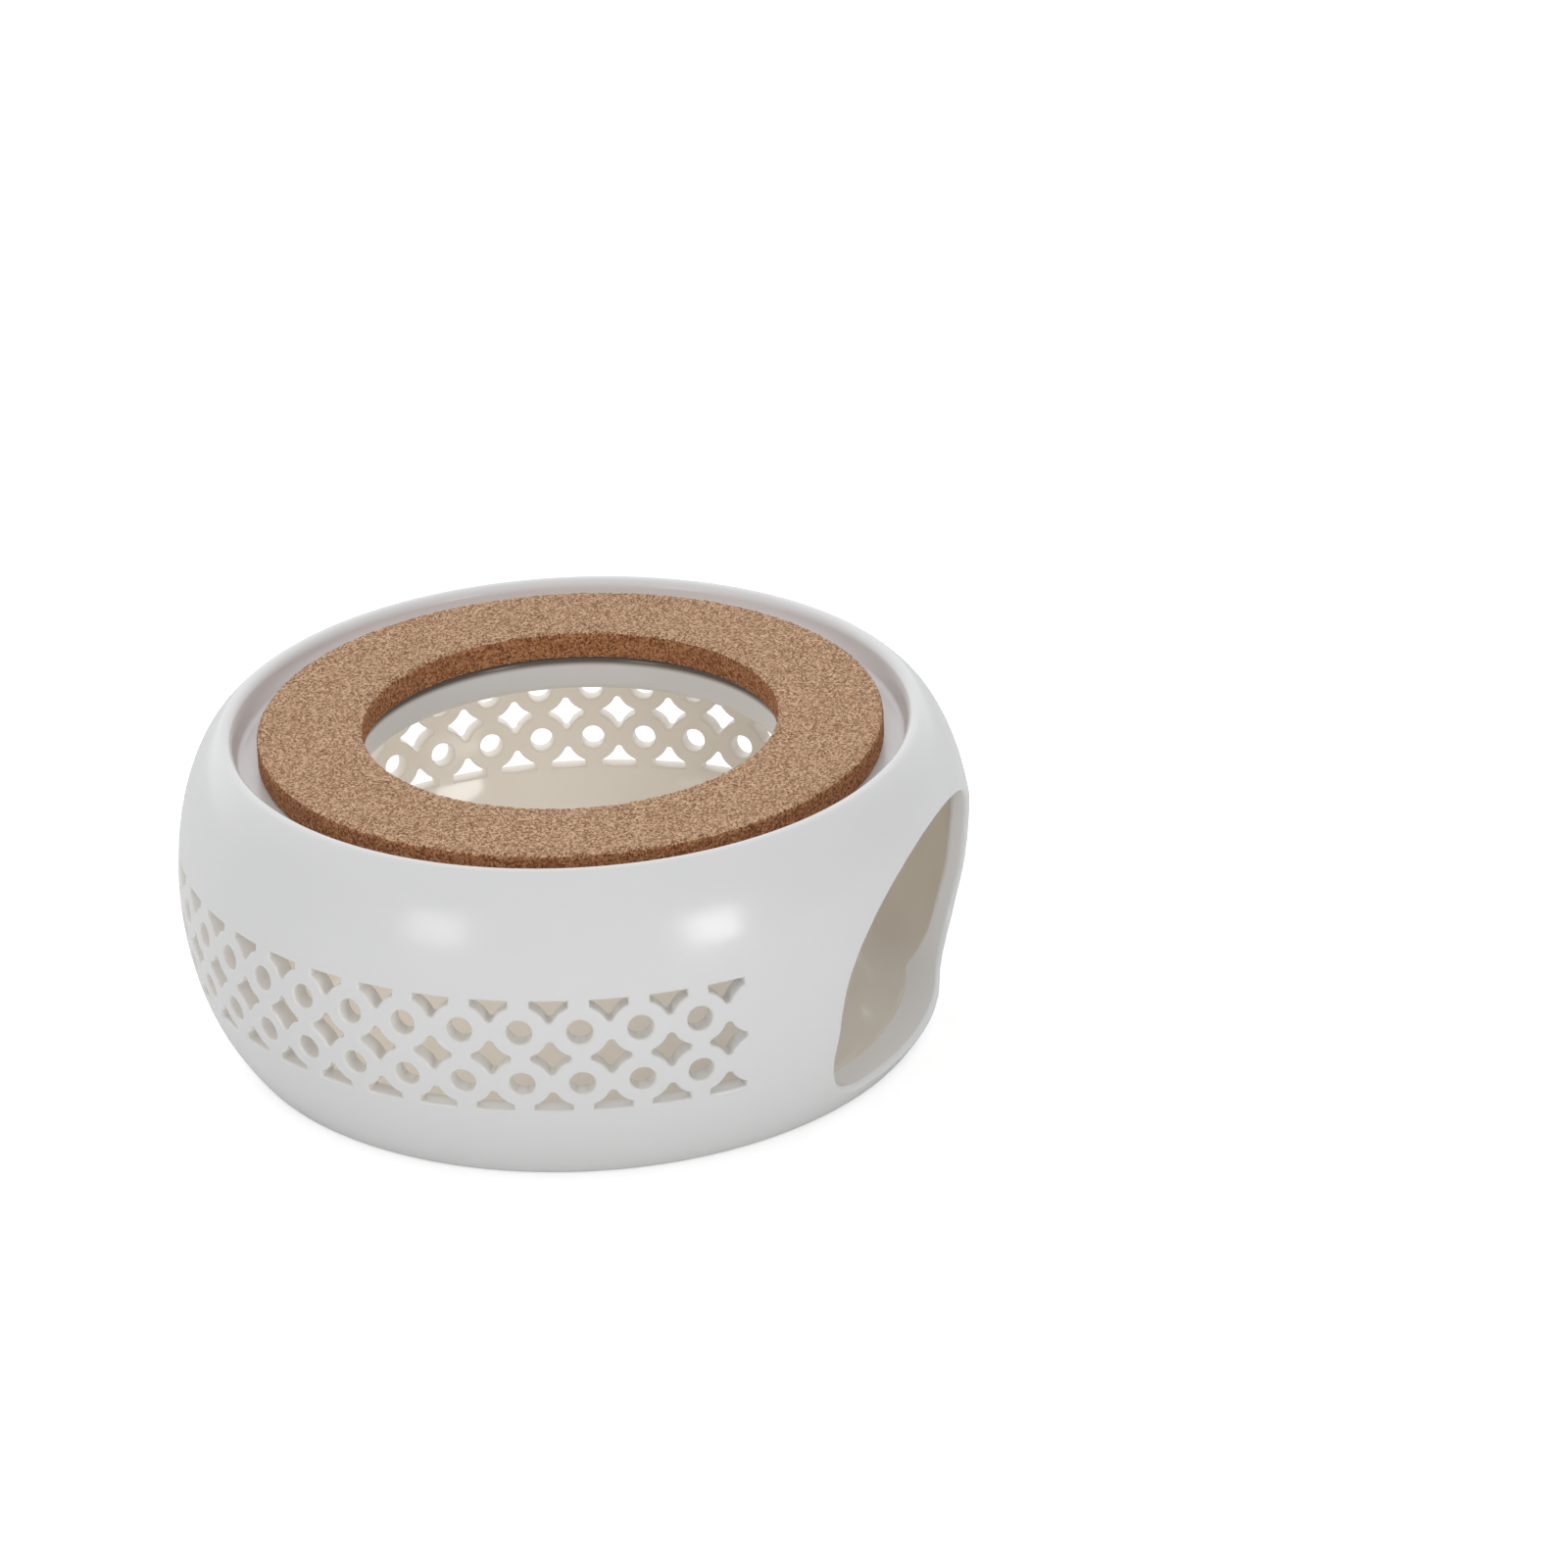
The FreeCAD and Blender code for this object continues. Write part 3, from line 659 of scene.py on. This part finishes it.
@dataclass
class GlazedBody:
    """The cast porcelain body with its glaze-softened edges, in millimetres.

    The section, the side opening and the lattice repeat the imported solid's sizes.
    """

    name: str = "glazed_body"
    steps: int = 180
    # outside, from the rim down
    height: float = 54.6
    rim_radius: float = 58.1
    rim_round: float = 1.5
    body_radius: float = 67.3
    belly_height: float = 28.2
    belly_curve: float = 57.4
    crown_base: float = 50.2
    shoulder_base: float = 42.0
    shoulder_curve: float = 34.8
    flank_top: float = 14.2
    flank_curve: float = 38.5
    wall: float = 3.2
    # foot and floor
    foot_width: float = 6.0
    foot_recess: float = 1.2
    foot_round: float = 1.0
    floor: float = 3.8
    floor_round: float = 9.0
    # well, shelf and lip
    well_radius: float = 56.6
    well_round: float = 1.5
    shelf_top: float = 49.3
    shelf_bottom: float = 45.7
    shelf_round: float = 2.0
    lip_inner: float = 36.0
    lip_outer: float = 39.2
    lip_bottom: float = 42.7
    lip_round: float = 1.4
    # side opening
    opening_half: float = 31.5
    opening_sill: float = 4.3
    opening_corner: float = 12.0
    opening_spring: float = 22.6
    opening_rise: float = 21.8
    opening_soft: float = 0.88
    opening_flare: float = 1.1
    opening_reach: float = 45.0
    arch_steps: int = 48
    # lattice
    lattice_middle: float = 25.4
    lattice_row: float = 4.7
    lattice_pitch: float = 8.3
    lattice_columns: int = 33
    star_half_width: float = 3.05
    star_half_height: float = 2.85
    star_tip: float = 0.45
    star_curve: float = 4.7
    border_overlap: float = 0.6
    eyelet_radius: float = 2.05
    # a tip's bulge, and how far across and how high its flank points lie, as shares
    tip_swell: float = 0.16
    tip_flank: float = 0.55
    tip_low: float = 0.7
    hole_soft: float = 0.45
    hole_flare: float = 0.6
    # how much of the chamber's painted warm colour and glow the lattice's cut faces take, at least and at
    # most
    pierced_least: float = 0.3
    pierced_most: float = 0.8
    # cutters
    cut_from: float = 58.1
    cut_to: float = 70.3
    doorway_from: float = 42.2

    def section(self) -> list[Vector]:
        """Draws the closed half section with all its rounds.

        Returns:
            The outline's points in metres, from the middle of the floor round to the underside.
        """
        belly = plane_point(self.body_radius - self.belly_curve, self.belly_height)
        low = on_circle(belly, self.belly_curve, self.flank_top)
        flank = low + (belly - low) * (self.flank_curve / self.belly_curve)
        high = on_circle(belly, self.belly_curve, self.shoulder_base)
        shoulder = high + (belly - high) * (self.shoulder_curve / self.belly_curve)
        top = on_circle(shoulder, self.shoulder_curve, self.crown_base)
        rim = plane_point(self.rim_radius, self.height - self.rim_round)
        out = (top - shoulder) / self.shoulder_curve
        gap = top - rim
        crown_curve = (gap.dot(gap) - self.rim_round ** 2) / (2 * (gap.dot(out) - self.rim_round))
        crown = top - out * crown_curve
        meet = rim + (rim - crown).normalized() * self.rim_round
        inner_flank = self.flank_curve - self.wall
        inner_belly = self.belly_curve - self.wall
        inner_shoulder = self.shoulder_curve - self.wall
        inner_low = belly + (low - belly) * (inner_belly / self.belly_curve)
        inner_high = belly + (high - belly) * (inner_belly / self.belly_curve)
        floor_bend = on_circle(flank, inner_flank - self.floor_round, self.floor + self.floor_round)
        floor_meet = flank + (floor_bend - flank).normalized() * inner_flank
        root = self.shelf_bottom - self.shelf_round
        ceiling = on_circle(shoulder, inner_shoulder - self.shelf_round, root)
        ceiling_meet = shoulder + (ceiling - shoulder).normalized() * inner_shoulder
        foot = on_circle(flank, self.flank_curve - self.foot_round, self.foot_round)
        foot_meet = flank + (foot - flank).normalized() * self.flank_curve
        foot_edge = on_circle(flank, self.flank_curve, 0).x - self.foot_width

        line = Section(0, self.floor)
        line.line(floor_bend.x, self.floor, 5)
        line.arc(floor_bend, floor_meet.x, floor_meet.z)
        line.arc(flank, inner_low.x, inner_low.z)
        line.arc(belly, inner_high.x, inner_high.z)
        line.arc(shoulder, ceiling_meet.x, ceiling_meet.z)
        line.arc(ceiling, ceiling.x, self.shelf_bottom)
        bend = self.lip_outer + self.shelf_round
        line.line(bend, self.shelf_bottom, 4)
        line.arc(plane_point(bend, root), self.lip_outer, root)
        tip = self.lip_bottom + self.lip_round
        outer = self.lip_outer - self.lip_round
        line.arc(plane_point(outer, tip), outer, self.lip_bottom)
        inner = self.lip_inner + self.lip_round
        line.line(inner, self.lip_bottom)
        line.arc(plane_point(inner, tip), self.lip_inner, tip)
        crest = self.shelf_top - self.lip_round
        line.line(self.lip_inner, crest, 3)
        line.arc(plane_point(inner, crest), inner, self.shelf_top)
        line.line(self.well_radius - self.well_round, self.shelf_top, 5)
        line.arc(plane_point(self.well_radius - self.well_round, self.shelf_top + self.well_round),
                 self.well_radius, self.shelf_top + self.well_round)
        line.line(self.well_radius, rim.z, 2)
        line.arc(rim, meet.x, meet.z)
        line.arc(crown, top.x, top.z)
        line.arc(shoulder, high.x, high.z)
        line.arc(belly, low.x, low.z)
        line.arc(flank, foot_meet.x, foot_meet.z)
        line.arc(foot, foot.x, 0)
        line.line(foot_edge, 0, 2)
        line.line(foot_edge, self.foot_recess)
        line.line(0, self.foot_recess, 5)
        return [point * MM for point in line.points]

    def hollow(self, start: Vector, end: Vector, steps: int = 4) -> list[Vector]:
        """Points along a star's hollow side, after its first tip corner and up to its second."""
        chord = end - start
        middle = (start + end) / 2
        across = plane_point(chord.z, -chord.x).normalized()
        offset = math.sqrt(self.star_curve ** 2 - (chord.length / 2) ** 2)
        across *= math.copysign(offset, across.dot(middle))
        centre = middle + across
        first, last = start - centre, end - centre
        return [centre + first.slerp(last, step / steps).normalized() * self.star_curve
                for step in range(1, steps + 1)]

    def tip(self, x: float, z: float) -> list[Vector]:
        """Points that round a star's tip, between its two corners, going round with the outline.

        Args:
            x: the tip's distance along X, signed, or 0 for the upper and lower tips.
            z: the tip's distance along Z, signed, or 0 for the side tips.

        Returns:
            Three points, in millimetres.
        """
        reach = Vector((x, 0, z))
        across = Vector((-z, 0, x)).normalized() * self.star_tip * self.tip_flank
        out = reach.normalized() * self.tip_swell
        low = out * self.tip_low
        return [reach - across + low, reach + out, reach + across + low]

    def star(self, up: bool = True, down: bool = True) -> list[Vector]:
        """Outline of a whole star, or of a half star that ends level.

        Args:
            up: whether the star has its upper half.
            down: whether the star has its lower half.

        Returns:
            The outline about the star's middle, anticlockwise seen from the opening, in millimetres.
        """
        wide, tall = self.star_half_width, self.star_half_height
        tip, border = self.star_tip, self.border_overlap
        right_low = plane_point(wide, -tip if down else -border)
        points = [right_low]
        if up and down:
            points += self.tip(wide, 0)
        points.append(plane_point(wide, tip if up else border))
        if up:
            points += self.hollow(points[-1], plane_point(tip, tall))
            points += self.tip(0, tall)
            points.append(plane_point(-tip, tall))
            points += self.hollow(points[-1], plane_point(-wide, tip))
        else:
            points += [plane_point(wide * share, border) for share in (0.5, 0, -0.5, -1)]
        if up and down:
            points += self.tip(-wide, 0)
        points.append(plane_point(-wide, -tip if down else -border))
        if down:
            points += self.hollow(points[-1], plane_point(-tip, -tall))
            points += self.tip(0, -tall)
            points.append(plane_point(tip, -tall))
            points += self.hollow(points[-1], right_low)[:-1]
        else:
            points += [plane_point(wide * share, -border) for share in (-0.5, 0, 0.5)]
        return points

    def eyelet(self, sides: int = 24) -> list[Vector]:
        """Outline of a round hole."""
        turns = [2 * math.pi * side / sides for side in range(sides)]
        return [self.eyelet_radius * plane_point(math.cos(turn), math.sin(turn)) for turn in turns]

    def doorway(self) -> list[Vector]:
        """Outline of the side opening: sill, round corners, short jambs and the arch."""
        half, corner = self.opening_half, self.opening_corner
        level, bend = half - corner, self.opening_sill + corner
        line = Section(-level, self.opening_sill, reach=1.6, turn=8.0)
        line.line(level, self.opening_sill, 8)
        line.arc(plane_point(level, bend), half, bend)
        line.line(half, self.opening_spring, 3)
        for step in range(1, self.arch_steps):
            turn = math.pi * step / self.arch_steps
            x, z = half * math.cos(turn), self.opening_spring + self.opening_rise * math.sin(turn)
            line.points.append(plane_point(x, z))
        line.points.append(plane_point(-half, self.opening_spring))
        line.line(-half, bend, 3)
        line.arc(plane_point(-level, bend), -level, self.opening_sill)
        return line.points[:-1]

    def cut(self, body: bpy.types.Object, cutter: bpy.types.Object) -> None:
        """Cuts a cutter out of the body and deletes it."""
        finish_modifier(body, "BOOLEAN", operation="DIFFERENCE", solver="EXACT", object=cutter)
        bpy.data.objects.remove(cutter)

    def lattice(self, wall: BVHTree) -> bpy.types.Object:
        """Builds the lattice's cutters: one column of stars and one of eyelets, repeated round the body.

        Args:
            wall: the uncut body's surface.

        Returns:
            All the cutters, joined.
        """
        tool = SoftCutter(wall, self.cut_from, self.cut_to, self.hole_soft, self.hole_flare)
        middle, row = self.lattice_middle, self.lattice_row
        stars = joined([tool.build(self.star(), middle),
                        tool.build(self.star(up=False), middle + 2 * row),
                        tool.build(self.star(down=False), middle - 2 * row)])
        eyelets = joined([tool.build(self.eyelet(), middle + row), tool.build(self.eyelet(), middle - row)])
        cutters = []
        for column, count in ((stars, self.lattice_columns), (eyelets, self.lattice_columns - 1)):
            turns = [(place - (count - 1) / 2) * self.lattice_pitch for place in range(count)]
            cutters += [turned_copy(column, turn) for turn in turns]
            bpy.data.objects.remove(column)
        return joined(cutters)

    def smooth_walls(self, body: bpy.types.Object, turned: bpy.types.Object) -> None:
        """Gives the uncut wall's own normals back to what is left of it.

        Args:
            body: the cut body.
            turned: the body as it was turned, before the cuts.
        """
        tree = BVHTree.FromObject(turned, bpy.context.evaluated_depsgraph_get())
        near = [vertex.index for vertex in body.data.vertices
                if tree.find_nearest(vertex.co)[3] < ON_WALL]
        group = body.vertex_groups.new(name="wall")
        group.add(near, 1.0, "REPLACE")
        go_to(body, "OBJECT")
        bpy.ops.object.shade_smooth_by_angle(angle=math.radians(42))
        finish_modifier(body, "DATA_TRANSFER", object=turned, use_loop_data=True,
                        data_types_loops={"CUSTOM_NORMAL"}, loop_mapping="POLYINTERP_NEAREST",
                        vertex_group=group.name)

    def in_chamber(self, place: Vector, normal: Vector) -> bool:
        """Tells whether a place on the turned wall, in millimetres, is the chamber's, not the lip's."""
        margin = 0.1
        between = self.floor - margin < place.z < self.shelf_bottom + margin
        on_lip = place.z > self.lip_bottom - margin and place.xy.length < self.lip_outer + 0.5
        inward = normal.xy.dot(place.xy) < 0
        on_floor = normal.z > 0.5 and place.z < self.floor + self.floor_round
        on_ceiling = normal.z < -0.5 and place.z > self.lip_bottom
        return between and not on_lip and (inward or on_floor or on_ceiling)

    def painted_warmth_on_cuts(self, place: Vector) -> float:
        """Share of the chamber's painted warm colour and glow on the lattice's cut faces, more on the far
        side.
        """
        if place.xy.length <= self.cut_from or place.y <= -self.opening_reach:
            return 0.0
        far = place.xy.normalized().dot(Vector(AWAY).xy) + 0.1
        return self.pierced_least + min(max(far, 0.0), self.pierced_most - self.pierced_least)

    def mark_inside(self, body: bpy.types.Object, wall: BVHTree) -> None:
        """Marks the chamber's faces, and in part the lattice's cut faces, in a point attribute from 0 to 1.
        There the glaze has its painted warm colour and glow, and more gloss.

        Args:
            body: the cut body.
            wall: the uncut body's surface.
        """
        marks = []
        for vertex in body.data.vertices:
            _, normal, _, distance = wall.find_nearest(vertex.co)
            place = vertex.co / MM
            if distance < ON_WALL:
                marks.append(float(self.in_chamber(place, normal)))
            else:
                # the lattice's cut faces take part of the chamber's painted warm colour and glow
                marks.append(self.painted_warmth_on_cuts(place))
        body.data.attributes.new(INSIDE, "FLOAT", "POINT").data.foreach_set("value", marks)

    def build(self) -> bpy.types.Object:
        """Turns the body and cuts the opening and the lattice, with soft edges.

        Returns:
            The finished piece, at the origin.
        """
        turned = outline_piece("turned_body", self.section(), closed=False)
        turn_on_axis(turned, self.steps)
        wall = BVHTree.FromObject(turned, bpy.context.evaluated_depsgraph_get())
        body = turned_copy(turned, 0.0)
        body.name = self.name
        opening = SoftCutter(wall, self.doorway_from, self.cut_to, self.opening_soft,
                             self.opening_flare, arc_steps=6)
        doorway = opening.build(self.doorway(), 0.0)
        doorway.data.transform(Matrix.Rotation(math.pi, 4, "Z"))
        self.cut(body, doorway)
        self.cut(body, self.lattice(wall))
        self.smooth_walls(body, turned)
        self.mark_inside(body, wall)
        bpy.data.objects.remove(turned)
        return body


@dataclass
class CorkRing:
    """The pressed cork ring, with granules in its faces and crumbled arrises, in millimetres."""

    name: str = "granular_ring"
    steps: int = 720
    outer: float = 52.5
    inner: float = 34.7
    base: float = 49.3
    top: float = 54.3
    arris: float = 0.35
    step: float = 0.5
    granule: float = 0.7
    relief: float = 0.13
    crumble: float = 0.30

    def section(self) -> list[Vector]:
        """Draws the ring's closed section, coarse underneath and fine where it shows.

        Returns:
            The outline's points in metres.
        """
        inner, outer, arris = self.inner, self.outer, self.arris
        wide = math.ceil((outer - inner) / self.step)
        tall = math.ceil((self.top - self.base) / self.step)
        line = Section(inner + arris, self.base)
        line.line(outer - arris, self.base, 4)
        line.line(outer, self.base + arris)
        line.line(outer, self.top - arris, tall)
        line.line(outer - arris, self.top)
        line.line(inner + arris, self.top, wide)
        line.line(inner, self.top - arris)
        line.line(inner, self.base + arris, tall)
        return [point * MM for point in line.points]

    def near_arris(self, place: Vector) -> bool:
        """Tells whether a place lies at one of the ring's four arrises, in millimetres."""
        limit = self.arris * 1.1
        from_side = min(abs(place.xy.length - side) for side in (self.inner, self.outer))
        from_end = min(abs(place.z - end) for end in (self.base, self.top))
        return from_side < limit and from_end < limit

    def roughen(self, ring: bpy.types.Object, depth: float, group: str = "") -> None:
        """Sinks the surface between the granules.

        Args:
            ring: the ring.
            depth: the deepest sink, in millimetres.
            group: the vertex group it works on, or the whole ring.
        """
        grain = bpy.data.textures.new("granules", "CLOUDS")
        grain.noise_scale = self.granule * MM
        grain.noise_depth = 1
        finish_modifier(ring, "DISPLACE", texture=grain, strength=depth * MM, mid_level=1.0,
                        vertex_group=group)

    def build(self) -> bpy.types.Object:
        """Turns the ring and roughens it, inside its true size.

        Returns:
            The finished piece, at the origin.
        """
        ring = outline_piece(self.name, self.section(), closed=True)
        turn_on_axis(ring, self.steps)
        arris = [vertex.index for vertex in ring.data.vertices if self.near_arris(vertex.co / MM)]
        group = ring.vertex_groups.new(name="arris")
        group.add(arris, 1.0, "REPLACE")
        self.roughen(ring, self.relief)
        self.roughen(ring, self.crumble, group.name)
        return ring


@dataclass
class Studio:
    """Camera at the photograph's angle, two soft boxes, soft surroundings and a pale floor."""

    eye: Point = (-766.48 * MM, -325.44 * MM, 437.62 * MM)
    lens: float = 125.62
    turn: float = -69.43
    pitch: float = 25.523
    roll: float = 1.993
    floor_size: float = 8.0
    surround: Colour = (0.975, 0.985, 1.0)
    front_level: float = 0.52
    back_level: float = 1.3
    right_level: float = 0.62
    overhead: float = 1.42
    beside: Point = (0.39, -0.92, 0.0)
    up: Point = (0.0, 0.0, 1.0)
    # cosines from each direction, where its grade starts and ends
    away_span: Span = (0.12, 0.9)
    beside_span: Span = (0.2, 0.9)
    up_span: Span = (0.35, 0.95)
    floor_tone: float = 0.87
    floor_roughness: float = 0.9
    floor_lift: float = 0.5
    floor_drop: float = 0.1 * MM
    aim: Point = (0.0, 0.0, 30 * MM)
    boxes: list[tuple[str, Point, float, float]] = field(default_factory=lambda: [
        ("soft_box_left", (-1.46, 0.47, 0.38), 0.42, 2.1),
        ("soft_box_right", (-0.80, -1.34, 0.27), 0.42, 3.9),
    ])

    def build(self) -> None:
        """Builds the camera, the lamps, the world and the floor."""
        self.build_camera()
        self.build_world()
        self.build_floor()
        for name, place, size, power in self.boxes:
            self.build_box(name, place, size, power)

    def build_camera(self) -> None:
        """Places the camera where the photograph was taken from."""
        data = bpy.data.cameras.new("camera")
        data.lens = self.lens
        data.sensor_width = 36.0
        data.clip_start = 0.05
        data.clip_end = 50.0
        camera = bpy.data.objects.new("camera", data)
        bpy.context.scene.collection.objects.link(camera)
        turn = Matrix.Rotation(math.radians(self.turn), 3, "Z")
        tilt = Matrix.Rotation(math.radians(90 - self.pitch), 3, "X")
        roll = Matrix.Rotation(math.radians(-self.roll), 3, "Z")
        pose = (turn @ tilt @ roll).to_quaternion()
        camera.matrix_world = Matrix.LocRotScale(Vector(self.eye), pose, None)
        bpy.context.scene.camera = camera

    def build_world(self) -> None:
        """White to the camera; on the object a soft level, higher above and behind, lower at the right."""
        world = bpy.data.worlds.new("surroundings")
        world.use_nodes = True
        world.node_tree.nodes.clear()
        nodes = Nodes(world.node_tree)
        path = nodes.add("LightPath")
        seen = nodes.maths("MAXIMUM", path.outputs["Is Camera Ray"], path.outputs["Is Transmission Ray"])
        way = nodes.add("TexCoord").outputs["Generated"]
        levels = (self.front_level, self.back_level)
        behind = nodes.grade(nodes.along(way, AWAY), self.away_span, levels, smooth=True)
        right = nodes.along(way, self.beside)
        shaded = nodes.grade(right, self.beside_span, (1.0, self.right_level), smooth=True)
        above = nodes.grade(nodes.along(way, self.up), self.up_span, (1.0, self.overhead), smooth=True)
        light = nodes.add("Background")
        light.inputs["Color"].default_value = (*self.surround, 1)
        sides = nodes.maths("MULTIPLY", behind, shaded)
        nodes.join(nodes.maths("MULTIPLY", sides, above), light.inputs["Strength"])
        white = nodes.add("Background", Strength=1.0)
        white.inputs["Color"].default_value = (1, 1, 1, 1)
        mixed = nodes.add("MixShader")
        output = nodes.add("OutputWorld")
        nodes.join(seen, mixed.inputs[0])
        nodes.join(light.outputs[0], mixed.inputs[1])
        nodes.join(white.outputs[0], mixed.inputs[2])
        nodes.join(mixed.outputs[0], output.inputs["Surface"])
        bpy.context.scene.world = world

    def build_floor(self) -> None:
        """A pale floor that reads white away from the object and keeps its soft shadow."""
        bpy.ops.mesh.primitive_plane_add(size=self.floor_size, location=(0, 0, -self.floor_drop))
        floor = bpy.context.active_object
        floor.name = "floor"
        material, nodes, shader = new_material("pale_floor")
        shader.inputs["Base Color"].default_value = (self.floor_tone, self.floor_tone, self.floor_tone, 1)
        shader.inputs["Roughness"].default_value = self.floor_roughness
        path = nodes.add("LightPath")
        lift = nodes.maths("MULTIPLY", path.outputs["Is Camera Ray"], self.floor_lift)
        shader.inputs["Emission Color"].default_value = (1, 1, 1, 1)
        nodes.join(lift, shader.inputs["Emission Strength"])
        floor.data.materials.append(material)

    def build_box(self, name: str, place: Point, size: float, power: float) -> None:
        """Adds a soft box that faces the object.

        Args:
            name: the lamp's name.
            place: its position in metres.
            size: its side in metres.
            power: its power in watts.
        """
        data = bpy.data.lights.new(name, "AREA")
        data.shape = "SQUARE"
        data.size = size
        data.energy = power
        lamp = bpy.data.objects.new(name, data)
        bpy.context.scene.collection.objects.link(lamp)
        lamp.location = place
        aim = Vector(self.aim) - Vector(place)
        lamp.rotation_euler = aim.to_track_quat("-Z", "Y").to_euler()


def dress(piece: bpy.types.Object, material: bpy.types.Material) -> None:
    """Gives a piece one material in place of those it has."""
    piece.data.materials.clear()
    piece.data.materials.append(material)


def main() -> None:
    """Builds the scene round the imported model."""
    logging.basicConfig(level=logging.INFO, format="%(name)s: %(message)s")
    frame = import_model()
    bpy.ops.object.select_all(action="DESELECT")
    bpy.context.scene.view_settings.view_transform = "Standard"
    Studio().build()
    mottle = mottle_group()
    glaze = GlazeFinish().build(mottle)
    dress(frame["nodes"]["porcelain_body"], glaze)
    body = GlazedBody().build()
    dress(body, glaze)
    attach(body, "root")
    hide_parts("porcelain_body")
    cork = CorkFinish().build(mottle)
    dress(frame["nodes"]["cork_ring"], cork)
    ring = CorkRing().build()
    dress(ring, cork)
    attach(ring, "root")
    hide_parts("cork_ring")
    for name, node in frame["nodes"].items():
        LOG.info("%s: %d faces", name, len(node.data.polygons))


if __name__ == "__main__":
    main()
